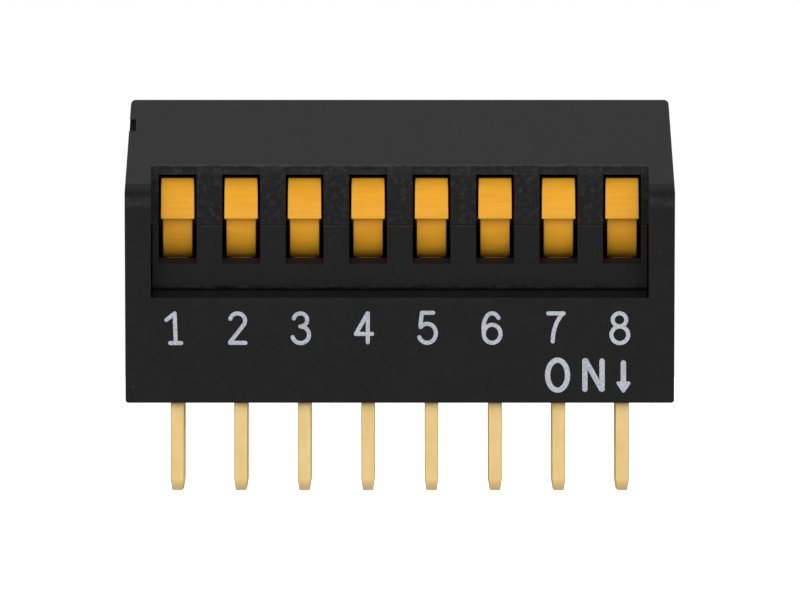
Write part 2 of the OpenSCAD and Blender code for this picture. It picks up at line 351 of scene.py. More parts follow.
@dataclass(frozen=True)
class MouldedBlack(Finish):
    """Black glass-filled resin from an eroded mould, with flow clouds, a little dust, and painted
    highlights, painted light and painted shade in some zones.

    Attributes:
        dark: Colour where the resin has flowed dense.
        light: Colour where the glass fibre shows through.
        roughness: Mean roughness.
        grain: Size of the eroded grain.
        relief: Depth of the grain.
        mottle: Strength of the pale mottling, from 0 to 1.
        wear_and_highlights: Zones that are paler, some worn pale and some with a painted highlight or
            painted light.
        coarse: Zone in which the mould is eroded coarsely and the mottling is at its strongest.
        painted_shade_and_bounce: Zones painted with shade or with orange light thrown from the levers,
            each with its colour.
    """

    dark: Colour
    light: Colour
    roughness: float
    grain: float
    relief: float
    mottle: float
    wear_and_highlights: tuple[Zone, ...]
    coarse: Zone | None = None
    painted_shade_and_bounce: tuple[tuple[Zone, Colour], ...] = ()

    def shade(self, graph: Graph) -> None:
        """Builds the nodes: clouds, mottling, dust, wear, painted highlights, painted light and painted
        shade in the colour, grain in the relief.

        Args:
            graph: The empty graph of its material.
        """
        where = graph.place()
        coarse = self.coarse.mask(graph, where) if self.coarse else 0.0
        wear_and_highlights: Value = 0.0
        for zone in self.wear_and_highlights:
            wear_and_highlights = zone.mask(graph, where) + wear_and_highlights
        cloud = graph.noise(where, 2.6 * MM, 3, 0.6)
        grain = graph.noise(where, self.grain, 4, 0.6)
        patch = graph.noise(where, 0.24 * MM, 5, 0.75).ramp(0.46, 0.68) * (coarse * 0.75 + self.mottle)
        # Pale marks in the zones: wear in some, painted highlights and painted light in others
        scuff_and_highlight = graph.noise(graph.place((1, 1, 2)), 0.35 * MM, 4, 0.7).ramp(0.3, 0.7) * wear_and_highlights
        fibre = graph.noise(graph.place((1, 1, 6)), 0.5 * MM, 4, 0.65).ramp(0.6, 0.8)
        dust = graph.specks(where, 0.9 * MM, 0.045) * graph.noise(where, 1.7 * MM).ramp(0.5, 0.62)
        colour = graph.blend(cloud.ramp(0.3, 0.7), self.dark, self.light)
        pale, lint = (0.05, 0.05, 0.049, 1), (0.22, 0.21, 0.2, 1)
        colour = graph.blend(patch * 0.5 + fibre * (0.12 * self.mottle), colour, pale)
        colour = graph.blend(scuff_and_highlight * 0.3, colour, pale)
        colour = graph.blend(dust * 0.25, colour, lint)
        # Painted shade and painted orange light from the levers, laid over all else
        for zone, film in self.painted_shade_and_bounce:
            colour = graph.blend(zone.mask(graph, where), colour, film)
        rough = self.roughness + (grain - 0.5) * 0.16 + (cloud - 0.5) * 0.1 + patch * 0.1 + scuff_and_highlight * 0.1
        normal = graph.bump(grain + cloud * 0.4 + dust * 0.5, self.relief)
        graph.surface(colour, rough, normal, {"Specular IOR Level": 0.08})


@dataclass(frozen=True)
class LeverResin(Finish):
    """Orange moulded resin, glossier where the mould is polished and worn by a fingertip, with painted
    shade on its trunnions and arms.

    Attributes:
        deep: Colour in the shade of a thick section.
        bright: Colour of the open surface.
        roughness: Mean roughness.
        bearing: Zone in which the trunnions lie.
        bearing_at: Distance from a lever's middle, along X, past which they stand out.
        arm: Zone in which the arms lie, under the hubs.
        shade_colour: Painted shade on both, a dark brown.
    """

    deep: Colour
    bright: Colour
    roughness: float
    bearing: Zone
    bearing_at: float
    arm: Zone
    shade_colour: Colour

    def shade(self, graph: Graph) -> None:
        """Builds the nodes: clouds, cutter bands and painted shade on the trunnions and arms in the
        colour, polish lines in the relief.

        Args:
            graph: The empty graph of its material.
        """
        where = graph.place()
        cloud = graph.noise(where, 1.9 * MM, 2, 0.5)
        lines = graph.noise(graph.place((0.7, 5, 5)), 0.9 * MM, 3, 0.5)
        grain = graph.noise(where, 0.05 * MM, 3, 0.6)
        pit = graph.specks(where, 0.55 * MM, 0.06) * graph.noise(where, 0.8 * MM).ramp(0.55, 0.65)
        colour = graph.blend((cloud * 0.5 + lines * 0.5).ramp(0.35, 0.65), self.deep, self.bright)
        colour = graph.blend(pit * 0.3, colour, self.deep)
        # Painted shade: the trunnions beside the hub and the arm below it are coloured dark brown where
        # shade falls in the slot
        past = graph.off_middle(where).ramp(self.bearing_at, self.bearing_at + 0.02 * MM)
        in_painted_shade = (self.bearing.mask(graph, where) * past).most(self.arm.mask(graph, where))
        colour = graph.blend(in_painted_shade, colour, self.shade_colour)
        rough = self.roughness + (lines - 0.5) * 0.14 + (grain - 0.5) * 0.1
        normal = graph.bump(grain * 0.6 + lines * 0.6 - pit, 1.6e-3 * MM)
        plain = {
            "Specular IOR Level": 0.15,
            "Subsurface Weight": 0.5,
            "Subsurface Radius": (1.0, 0.45, 0.15),
            "Subsurface Scale": 0.35 * MM,
        }
        graph.surface(colour, rough, normal, plain)


@dataclass(frozen=True)
class PlatedMetal(Finish):
    """Plated spring metal, stamped from rolled strip.

    Attributes:
        pale: Colour of the fresh plating.
        warm: Colour where it is thin or touched.
        roughness: Mean roughness.
        rolled: Stretch of the rolling lines, as closeness along each axis.
        sheared: Colour of the sheared edges, where the plating is thin.
        shear_at: How far out of the middle of each pin they start, along X.
    """

    pale: Colour
    warm: Colour
    roughness: float
    rolled: tuple[float, float, float]
    sheared: Colour
    shear_at: float

    def shade(self, graph: Graph) -> None:
        """Builds the nodes: rolling lines in roughness and relief, tarnish in the colour.

        Args:
            graph: The empty graph of its material.
        """
        where = graph.place()
        lines = graph.noise(graph.place(self.rolled), 0.6 * MM, 4, 0.6)
        tarnish = graph.noise(where, 1.1 * MM, 4, 0.6)
        fine = graph.noise(where, 0.04 * MM, 3, 0.6)
        share = (tarnish * 0.7 + lines * 0.3).ramp(0.36, 0.68)
        colour = graph.blend(share, self.pale, self.warm)
        past = graph.off_middle(where).ramp(self.shear_at, self.shear_at + 0.02 * MM)
        colour = graph.blend(past, colour, self.sheared)
        rough = self.roughness + (lines - 0.5) * 0.2 + (tarnish - 0.5) * 0.12
        normal = graph.bump(lines * 0.8 + fine * 0.3, 1.2e-3 * MM)
        graph.surface(colour, rough, normal, {"Metallic": 1.0})


@dataclass(frozen=True)
class PadInk(Finish):
    """Pale printing ink, laid on by a soft pad, thin in places.

    Attributes:
        full: Colour where the ink is thick.
        thin: Colour where the black below shows through.
    """

    full: Colour
    thin: Colour

    def shade(self, graph: Graph) -> None:
        """Builds the nodes: patchy cover in the colour, a dry film in the relief.

        Args:
            graph: The empty graph of its material.
        """
        where = graph.place()
        cover = graph.noise(where, 0.11 * MM, 4, 0.7)
        tint = graph.noise(where, 0.9 * MM, 2, 0.5)
        colour = graph.blend((cover * 0.8 + tint * 0.2).ramp(0.6, 0.36), self.full, self.thin)
        rough = 0.55 + (cover - 0.5) * 0.2
        normal = graph.bump(cover, 1.5e-3 * MM)
        graph.surface(colour, rough, normal, {"Specular IOR Level": 0.3})


@dataclass(frozen=True)
class PottingResin(Finish):
    """Brown-black sealing resin, poured and cured glossy.

    Attributes:
        deep: Colour of the thick pour.
        edge: Colour where it thins out.
    """

    deep: Colour
    edge: Colour

    def shade(self, graph: Graph) -> None:
        """Builds the nodes: slow clouds in the colour, ripples and pinholes in the relief.

        Args:
            graph: The empty graph of its material.
        """
        where = graph.place()
        cloud = graph.noise(where, 1.8 * MM, 3, 0.5)
        pins = graph.specks(where, 0.8 * MM, 0.08) * graph.noise(where, 1.3 * MM).ramp(0.5, 0.6)
        colour = graph.blend(cloud.ramp(0.35, 0.7), self.deep, self.edge)
        rough = 0.22 + (cloud - 0.5) * 0.16 + pins * 0.3
        normal = graph.bump(cloud - pins * 0.5, 12e-3 * MM)
        graph.surface(colour, rough, normal, {"Specular IOR Level": 0.3})


# The window between the cheeks, and the cheeks themselves, in millimetres out of the middle
WINDOW, CHEEKS = (0, 9.95), (9.9, 11)
# Painted shade for the curtain behind the sill, and the hub's orange light thrown into the shaded foot of
# each slot, painted on
CURTAIN_SHADE, SLOT_FOOT_BOUNCE = (0.001, 0.001, 0.001, 1), (0.0115, 0.003, 0.0004, 1)
BRASS = (0.34, 0.24, 0.11, 1)

CASE_BLACK = MouldedBlack(
    name="case_black",
    dark=(0.0068, 0.0068, 0.0069, 1),
    light=(0.0088, 0.0088, 0.0089, 1),
    roughness=0.5,
    grain=0.07 * MM,
    relief=2.5e-3 * MM,
    mottle=0.14,
    coarse=Zone(WINDOW, (-3.42, -3.1), (7, 9.42), 0.03),
    wear_and_highlights=(
        # Worn nose of each cheek, painted highlight along the lip over the slots, worn heads of the slots
        Zone(CHEEKS, (-5, -4.7), (7.95, 8.1), 0.2, 1.6),
        Zone(WINDOW, (-3.6, -3.3), (9.46, 9.54), 0.02, 3.2),
        Zone(WINDOW, (-3.42, -3.1), (9.14, 9.42), 0.03, 0.8),
    ),
)
BASE_BLACK = MouldedBlack(
    name="base_black",
    dark=(0.0066, 0.0066, 0.0067, 1),
    light=(0.008, 0.008, 0.0081, 1),
    roughness=0.45,
    grain=0.05 * MM,
    relief=1.5e-3 * MM,
    mottle=0.12,
    wear_and_highlights=(
        # Painted highlight on the edge along the parting line, painted light on the foot of the panel
        # where its lower edge turns down into shade
        Zone(WINDOW, (-3.6, -3.3), (7.05, 7.12), 0.02, 1.4),
        Zone(WINDOW, (-3.6, -3), (4.5, 4.7), 0.02, 2.0),
    ),
    painted_shade_and_bounce=(
        # Painted shade on the curtain behind the sill; painted orange light from the hub on the foot of
        # each slot
        (Zone(WINDOW, (-3, -2.7), (3.5, 4.6), 0.02), CURTAIN_SHADE),
        (Zone(WINDOW, (-3.33, -2.4), (5.4, 5.85), 0.02), SLOT_FOOT_BOUNCE),
    ),
)
LEVER_ORANGE = LeverResin(
    name="lever_orange",
    deep=(0.78, 0.365, 0.02, 1),
    bright=(0.85, 0.415, 0.0275, 1),
    roughness=0.4,
    # The trunnions and the arms below the hubs take painted shade, the dark brown given last
    bearing=Zone(WINDOW, (-1.8, -1.1), (7, 7.7), 0.02),
    bearing_at=0.6 * MM,
    arm=Zone(WINDOW, (-3, 0), (3, 5.8), 0.03),
    shade_colour=(0.05, 0.02, 0.006, 1),
)
PIN_GOLD = PlatedMetal(
    name="pin_gold",
    pale=(0.45, 0.323, 0.149, 1),
    warm=(0.425, 0.302, 0.123, 1),
    roughness=0.35,
    rolled=(6, 6, 0.6),
    sheared=BRASS,
    shear_at=0.25 * MM,
)
SPRING_GOLD = PlatedMetal(
    name="spring_gold",
    pale=(0.62, 0.44, 0.19, 1),
    warm=(0.56, 0.38, 0.15, 1),
    roughness=0.25,
    rolled=(1, 6, 6),
    sheared=BRASS,
    shear_at=0.43 * MM,
)
PAD_INK = PadInk(name="pad_ink", full=(0.5, 0.52, 0.565, 1), thin=(0.31, 0.325, 0.36, 1))
POTTING_RESIN = PottingResin(
    name="potting_resin", deep=(0.018, 0.012, 0.009, 1), edge=(0.035, 0.022, 0.015, 1)
)


# --- Meshes ---


class Shape:
    """A mesh in the making: whole arrays of points and faces that become one piece."""

    def __init__(self) -> None:
        """Starts with nothing in it."""
        self.points: list[Array] = []
        self.faces: list[list[int]] = []
        self.count = 0

    def add_grid(self, points: Array, wrap_rows: bool = False, wrap_columns: bool = False) -> int:
        """Adds the quads between the points of a grid.

        Args:
            points: Rows by columns by 3.
            wrap_rows: Whether the last row joins the first.
            wrap_columns: Whether the last column joins the first.

        Returns:
            The index of the grid's first point.
        """
        rows, columns = points.shape[:2]
        first = self.count
        index = np.arange(rows * columns).reshape(rows, columns) + first
        if wrap_rows:
            index = np.vstack([index, index[:1]])
        if wrap_columns:
            index = np.hstack([index, index[:, :1]])
        quads = np.stack([index[:-1, :-1], index[:-1, 1:], index[1:, 1:], index[1:, :-1]], -1)
        self.points.append(points.reshape(-1, 3))
        self.faces += quads.reshape(-1, 4).tolist()
        self.count += rows * columns
        return first

    def add_slab(self, outline: Array, half: float | Array, edge: float, place_x: float) -> None:
        """Adds a flat slab with rounded edges, whose outline lies across X.

        The section runs from one side to the other as (x, inset): the inset is 0 between the
        two edges, and over each edge it follows edge * (1 - cos t) while x follows edge * sin t,
        with t from 0 to a quarter turn. Each ring is the outline moved inwards by its inset.

        Args:
            outline: Closed outline as points (y, z).
            half: Half the slab's width, the same all round or one for each point.
            edge: Radius of the rounded edges.
            place_x: Middle of the slab along X.
        """
        steps = 5
        turn = np.linspace(0, math.pi / 2, steps)
        rise, inset = edge * (np.sin(turn) - 1), edge * (1 - np.cos(turn))
        side = np.repeat([-1.0, 1.0], steps)
        rise, inset = np.concatenate([rise[::-1], rise]), np.concatenate([inset[::-1], inset])
        normal = outward(outline)
        x = place_x + side[:, None] * (np.broadcast_to(half, len(outline)) + rise[:, None])
        ring = outline[None] - inset[:, None, None] * normal[None]
        first = self.add_grid(np.dstack([x, ring]), wrap_columns=True)
        around = len(outline)
        last = self.count - around
        self.faces += [list(range(first + around - 1, first - 1, -1))]
        self.faces += [list(range(last, last + around))]

    def piece(self, name: str) -> bpy.types.Object:
        """Makes the piece, welds its poles and turns its faces outwards.

        Args:
            name: Name of the piece.

        Returns:
            The new object, at the origin and smooth between its sharp edges.
        """
        mesh = bpy.data.meshes.new(name)
        mesh.from_pydata(np.vstack(self.points).tolist(), [], self.faces)
        work = bmesh.new()
        work.from_mesh(mesh)
        weld = 1e-5 * MM
        bmesh.ops.remove_doubles(work, verts=work.verts, dist=weld)
        bmesh.ops.dissolve_degenerate(work, edges=work.edges, dist=weld)
        bmesh.ops.recalc_face_normals(work, faces=work.faces)
        work.to_mesh(mesh)
        work.free()
        return show(mesh, name)


def show(mesh: bpy.types.Mesh, name: str) -> bpy.types.Object:
    """Puts a mesh into the scene, smooth but for its sharp edges.

    Args:
        mesh: The finished mesh.
        name: Name of the piece.

    Returns:
        The new object.
    """
    mesh.shade_smooth()
    mesh.set_sharp_from_angle(angle=SHARP_ANGLE)
    made = bpy.data.objects.new(name, mesh)
    bpy.context.scene.collection.objects.link(made)
    return made


def outward(outline: Array) -> Array:
    """Finds the normals of a closed outline: the tangent across each point, turned right.

    Args:
        outline: The outline, anticlockwise.

    Returns:
        Its outward unit normals.
    """
    tangent = np.roll(outline, -1, 0) - np.roll(outline, 1, 0)
    normal = np.stack([tangent[:, 1], -tangent[:, 0]], 1)
    return normal / np.linalg.norm(normal, axis=1, keepdims=True)


def anticlockwise(outline: Array) -> Array:
    """Turns a closed outline anticlockwise, by the sign of its shoelace area.

    Args:
        outline: The outline, either way round.

    Returns:
        The outline, anticlockwise.
    """
    after = np.roll(outline, -1, 0)
    area = np.sum(outline[:, 0] * after[:, 1] - after[:, 0] * outline[:, 1])
    return outline if area > 0 else outline[::-1]


def polar(radius: float, angle: Array) -> Array:
    """Points (y, z) at angles from straight down towards the rear: (r sin a, -r cos a)."""
    return np.stack([radius * np.sin(angle), -radius * np.cos(angle)], -1)


def merged_copy(node: str, name: str, tight: float | None = None) -> bpy.types.Object:
    """Copies a CAD node, merges its loose triangles and clears the flat edges between them.

    Args:
        node: Name of the CAD node.
        name: Name of the new piece.
        tight: Height at which edges are softened least, as two mouldings meet there.

    Returns:
        The new piece, with one face for each flat face of the CAD node and a bevel weight on
        each sharp edge.
    """
    near, least = 0.025 * MM, 0.15
    source = frame["nodes"][node].data
    points = np.empty(len(source.vertices) * 3, np.float32)
    source.vertices.foreach_get("co", points)
    corners = np.empty(len(source.loops), np.int32)
    source.loops.foreach_get("vertex_index", corners)
    places, index = np.unique(points.reshape(-1, 3)[corners], axis=0, return_inverse=True)
    triangles = index.reshape(-1, 3)
    whole = (triangles != np.roll(triangles, 1, 1)).all(1)
    mesh = bpy.data.meshes.new(name)
    mesh.from_pydata(places.tolist(), [], triangles[whole].tolist())
    work = bmesh.new()
    work.from_mesh(mesh)
    bmesh.ops.dissolve_limit(
        work, angle_limit=FLAT_ANGLE, verts=work.verts, edges=work.edges, delimit=set()
    )
    weight = work.edges.layers.float.new("bevel_weight_edge")
    for edge in work.edges:
        if edge.calc_face_angle(0.0) > SHARP_ANGLE:
            close = tight is not None and all(abs(corner.co.z - tight) < near for corner in edge.verts)
            edge[weight] = least if close else 1.0
    work.to_mesh(mesh)
    work.free()
    return show(mesh, name)


def soften(piece: bpy.types.Object, width: float, segments: int = 2) -> None:
    """Rounds the edges of a merged copy by their bevel weights, and keeps its flat faces flat.

    Args:
        piece: The piece.
        width: Width of the rounding.
        segments: Faces across it.
    """
    bevel = piece.modifiers.new("soft_edges", "BEVEL")
    bevel.width, bevel.segments = width, segments
    bevel.limit_method = "WEIGHT"
    bevel.use_clamp_overlap, bevel.harden_normals = True, True
    flat = piece.modifiers.new("flat_faces", "WEIGHTED_NORMAL")
    flat.mode, flat.weight, flat.keep_sharp = "FACE_AREA", 100, True


# --- Housing ---


class Row(Enum):
    """The two rows of terminals."""

    FRONT = "front"
    REAR = "rear"


@dataclass
class Housing:
    """The case, the base that closes it and the resin that seals it.

    Attributes:
        case_edge: Width of the rounding on the case's edges.
        base_edge: Width of the rounding on the base's edges.
        parting: Height at which the case and the base meet in the slotted panel.
        pour_step: Spacing of the resin surface's grid.
        climb: How far the resin climbs at a wall or a pin.
        reach: How far out that climb reaches.
        pin_half: Half the width and half the thickness of a pin, as the resin meets it.
    """

    case_edge: float = 0.05 * MM
    base_edge: float = 0.03 * MM
    parting: float = 7.12 * MM
    pour_step: float = 0.12 * MM
    climb: float = 0.1 * MM
    reach: float = 0.22 * MM
    pin_half: tuple[float, float] = (0.27 * MM, 0.13 * MM)

    def build_case(self, finish: bpy.types.Material) -> bpy.types.Object:
        """Makes the case from its CAD node, with softened edges.

        Args:
            finish: The case's material.

        Returns:
            The new piece.
        """
        made = merged_copy("case", "case_moulding", self.parting)
        soften(made, self.case_edge, 3)
        return dress(made, finish, "root", "case_black", "case")

    def build_base(self, finish: bpy.types.Material) -> bpy.types.Object:
        """Makes the base from its CAD node, with softened edges.

        Args:
            finish: The base's material.

        Returns:
            The new piece.
        """
        made = merged_copy("base", "base_moulding", self.parting)
        soften(made, self.base_edge)
        return dress(made, finish, "root", "base_black", "base")

    def build_pour(self, finish: bpy.types.Material) -> bpy.types.Object:
        """Makes the sealing resin, a poured slab whose open underside climbs at walls and pins.

        The underside's height is its CAD level less climb * exp(-d / reach), where d is the
        distance to the nearest wall or pin; the top and the sides are those of the CAD node.

        Args:
            finish: The resin's material.

        Returns:
            The new piece.
        """
        low, high = (np.array(corner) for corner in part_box("sealing_resin"))
        counts = np.ceil((high - low)[:2] / self.pour_step).astype(int) + 1
        x, y = np.meshgrid(*(np.linspace(low[k], high[k], counts[k]) for k in (0, 1)), indexing="ij")
        gap = np.minimum.reduce([x - low[0], high[0] - x, y - low[1], high[1] - y])
        for row in Row:
            for way in range(1, WAYS + 1):
                near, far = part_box(f"{row.value}_terminal_{way}")
                pin_x, pin_y = (near[0] + far[0]) / 2, near[1] if row is Row.FRONT else far[1]
                aside = np.maximum(np.abs(x - pin_x) - self.pin_half[0], 0)
                along = np.maximum(np.abs(y - pin_y) - self.pin_half[1], 0)
                gap = np.minimum(gap, np.hypot(aside, along))
        shape = Shape()
        bottom = low[2] - self.climb * np.exp(-gap / self.reach)
        faces = [np.dstack([x, y, level]) for level in (bottom, np.full_like(x, high[2]))]
        for face in faces:
            shape.add_grid(face)
        for side in (np.s_[:, 0], np.s_[-1, :], np.s_[::-1, -1], np.s_[0, ::-1]):
            shape.add_grid(np.stack([face[side] for face in faces]))
        made = shape.piece("sealing_pour")
        return dress(made, finish, "root", "resin", "sealing_resin")


def dress(
    piece: bpy.types.Object,
    finish: bpy.types.Material,
    body: str,
    slot: str | None = None,
    *nodes: str,
) -> bpy.types.Object:
    """Gives a new piece its finish, its body and the CAD nodes that it stands for.

    Args:
        piece: The new piece.
        finish: Its material.
        body: Name of the CAD body that it rides on.
        slot: Name of the record's material slot, if it has one; not used.
        *nodes: Names of the CAD nodes that it stands for.

    Returns:
        The same piece.
    """
    piece.data.materials.clear()
    piece.data.materials.append(finish)
    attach(piece, body)
    if nodes:
        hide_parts(*nodes)
    log.info("%s: %d faces on %s", piece.name, len(piece.data.polygons), body)
    return piece


# --- Levers ---


@dataclass
class LeverBank:
    """The row of rocking levers and the wipers on their feet.

    Attributes:
        hub_r: Radius of the hub.
        hub_w: Width of the hub.
        knob_r: Outer radius of the knob.
        knob_w: Width of the knob at its lower face.
        knob_draft: Share of its width that the knob loses up to its top.
        throw_deg: Angle that the knob takes up.
        fillets: Radii of the knob's outer corners, at its lower face and at its top.
        root_sink: How far the knob's root lies inside the hub.
        trunnion_r: Radius of the trunnions.
        arm_w: Width of the arm.
        arm_t: Thickness of the arm.
        arm_l: Length of the arm from the pivot.
        arm_lead_deg: Angle of the arm in front of straight down.
        neck_d: Depth of the neck in the front of the arm.
        neck_l: Length of the neck below the hub.
        edge: Radius of the side edges.
    """

    hub_r: float = 1.55 * MM
    hub_w: float = 1.18 * MM
    knob_r: float = 2.3 * MM
    knob_w: float = 1.34 * MM
    knob_draft: float = 0.02
    throw_deg: float = 48
    fillets: tuple[float, float] = (0.05 * MM, 0.14 * MM)
    root_sink: float = 0.1 * MM
    trunnion_r: float = 0.32 * MM
    arm_w: float = 0.9 * MM
    arm_t: float = 0.8 * MM
    arm_l: float = 3.45 * MM
    arm_lead_deg: float = 8
    neck_d: float = 0.32 * MM
    neck_l: float = 0.25 * MM
    edge: float = 0.045 * MM

    def knob_outline(self) -> tuple[Array, Array]:
        """Outline of the knob about the pivot, a ring sector with rounded outer corners.

        The outer arc runs between two fillets. A fillet of radius c beside the radial face at
        angle a is centred on polar(R - c, a + d), where sin d = c / (R - c), and turns from the
        direction a + d to the direction square to the face.

        Returns:
            The outline as points (y, z), and for each the share of the way up from the knob's
            lower face to its top.
        """
        foot, top = -math.pi / 2, -math.pi / 2 - math.radians(self.throw_deg)
        corners, ends = [], []
        for face, fillet, into in zip((foot, top), self.fillets, (-1, 1)):
            end = face + into * math.asin(fillet / (self.knob_r - fillet))
            turn = np.linspace(face - into * math.pi / 2, end, 9)
            corners.append(polar(self.knob_r - fillet, end) + polar(fillet, turn))
            ends.append(end)
        arc = polar(self.knob_r, np.linspace(*ends, 26)[1:-1])
        root = polar(self.hub_r - self.root_sink, np.linspace(top, foot, 8))
        outline = anticlockwise(np.vstack([corners[0], arc, corners[1][::-1], root]))
        angle = np.arctan2(-outline[:, 0], -outline[:, 1])
        share = np.clip((angle - math.pi / 2) / math.radians(self.throw_deg), 0, 1)
        return outline, share

    def arm_outline(self) -> Array:
        """Outline of the arm: a bar from the pivot to its foot, whose foot is an arc of a circle.

        Its front is cut back by neck_d from the pivot to neck_l below the hub.

        Returns:
            The outline as points (y, z) about the pivot.
        """
        half = self.arm_t / 2
        lean = math.asin(half / self.arm_l)
        foot = polar(self.arm_l, np.linspace(-lean, lean, 9))
        ledge, waist = -self.hub_r - self.neck_l, self.neck_d - half
        bar = np.array([[half, 0], [waist, 0], [waist, ledge], [-half, ledge]])
        outline = np.vstack([foot, bar])
        turn = -math.radians(self.arm_lead_deg)
        spin = np.array([[math.cos(turn), -math.sin(turn)], [math.sin(turn), math.cos(turn)]])
        return anticlockwise(outline @ spin.T)

    def build(self, way: int, finish: bpy.types.Material) -> bpy.types.Object:
        """Makes one lever: knob, hub, arm and trunnions, each a slab with rounded edges.

        Args:
            way: Number of the lever, from 1 at the left.
            finish: The lever's material.

        Returns:
            The new piece.
        """
        joint = frame["joints"][way - 1]
        pivot = np.array(joint["pos_m"])
        low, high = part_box(f"lever_{way}")
        round_about = anticlockwise(polar(1.0, np.linspace(0, 2 * math.pi, 97)[:-1]))
        knob, share = self.knob_outline()
        slabs = (
            (knob, self.knob_w / 2 * (1 - self.knob_draft * share), self.edge),
            (round_about * self.hub_r, self.hub_w / 2, self.edge),
            (self.arm_outline(), self.arm_w / 2, self.edge / 2),
            (round_about[::2] * self.trunnion_r, (high[0] - low[0]) / 2, self.edge / 2),
        )
        shape = Shape()
        for outline, half, edge in slabs:
            shape.add_slab(outline + pivot[1:], half, edge, pivot[0])
        made = shape.piece(f"lever_{way}_moulding")
        return dress(made, finish, joint["child"], "lever_orange", f"lever_{way}")

    def dress_wiper(self, way: int, finish: bpy.types.Material) -> None:
        """Gives the CAD wiper of one lever, which stays in view, its finish.

        Args:
            way: Number of the lever.
            finish: The wiper's material.
        """
        node = frame["nodes"][f"wiper_{way}"]
        for holder in node.material_slots:
            holder.material = finish
        if not node.material_slots:
            node.data.materials.append(finish)
        log.info("%s: CAD node in %s", node.name, finish.name)


# --- Terminals ---


@dataclass
class TerminalRows:
    """The stamped terminals, two for each lever.

    Attributes:
        edge: Width of the rounding that stamping and plating leave on the edges.
    """

    edge: float = 0.035 * MM

    def build(self, row: Row, way: int, finish: bpy.types.Material) -> bpy.types.Object:
        """Makes one terminal from its CAD node, with softened edges.

        Args:
            row: Its row.
            way: Number of its lever.
            finish: The terminal's material.

        Returns:
            The new piece.
        """
        node = f"{row.value}_terminal_{way}"
        made = merged_copy(node, f"{row.value}_pin_{way}_stamping")
        soften(made, self.edge)
        return dress(made, finish, "root", "pin_gold", node)


# --- Lettering ---


@dataclass(frozen=True)
class Arc:
    """Part of an ellipse in a glyph: middle, radii and the angles it runs between, in degrees."""

    x: float
    z: float
    rx: float
    rz: float
    start: float
    end: float

    def points(self) -> Array:
        """Works out the arc's line: (x + rx cos t, z + rz sin t).

        Returns:
            Points along it, about 7 degrees apart.
        """
        count = max(8, int(abs(self.end - self.start) / 7))
        t = np.radians(np.linspace(self.start, self.end, count))
        return np.stack([self.x + self.rx * np.cos(t), self.z + self.rz * np.sin(t)], 1)


@dataclass(frozen=True)
class Line:
    """A straight part of a glyph, from its start to its end."""

    x0: float
    z0: float
    x1: float
    z1: float

    def points(self) -> Array:
        """Points along the line, evenly spaced."""
        return np.linspace((self.x0, self.z0), (self.x1, self.z1), 12)


Stroke = tuple[Arc | Line, ...]

# Centre lines of the figures, in millimetres from the middle of the foot of each
FIGURES: tuple[tuple[Stroke, ...], ...] = (
    (
        (Line(-0.3, 1.02, 0.02, 1.27),),
        (Line(0.024, 1.27, 0.068, 0.1),),
        (Line(-0.15, 0.09, 0.28, 0.09),),
    ),
    ((Arc(0, 0.985, 0.3, 0.29, 165, -32), Line(0.254, 0.831, -0.3, 0.12)), (Line(-0.3, 0.1, 0.31, 0.1),)),
    ((Arc(-0.03, 1.015, 0.27, 0.26, 166, -90),), (Arc(-0.02, 0.42, 0.332, 0.332, 90, -163),)),
    (
        (Line(0.122, 1.275, 0.122, 0.125),),
        (Line(0.11, 1.27, -0.35, 0.46),),
        (Line(-0.35, 0.455, 0.29, 0.455),),
    ),
    (
        (Line(-0.255, 1.3, 0.19, 1.3),),
        (Line(-0.258, 1.29, -0.315, 0.78),),
        (Arc(-0.045, 0.48, 0.345, 0.38, 138, -155),),
    ),
    (
        (Arc(0.01, 0.46, 0.335, 0.36, 0, 360),),
        (Arc(0.01, 0.7, 0.345, 0.58, 43, 180), Line(-0.335, 0.66, -0.325, 0.5)),
    ),
    ((Line(-0.285, 1.275, 0.325, 1.275),), (Arc(1.2, 0.16, 1.31, 1.55, 133.6, 180),)),
    ((Arc(0.017, 1.02, 0.27, 0.26, 0, 360),), (Arc(0.03, 0.42, 0.335, 0.33, 0, 360),)),
)

# Centre lines of the mark for the closed position, in millimetres from the middle of the seat
ON_MARK: tuple[Stroke, ...] = (
    (Arc(6.304, 1.107, 0.398, 0.599, 0, 360),),
    (Line(7.394, 1.675, 7.394, 0.55),),
    (Line(7.43, 1.675, 8.05, 0.56),),
    (Line(8.08, 1.665, 8.08, 0.55),),
    (Line(8.932, 1.59, 8.932, 0.86),),
)


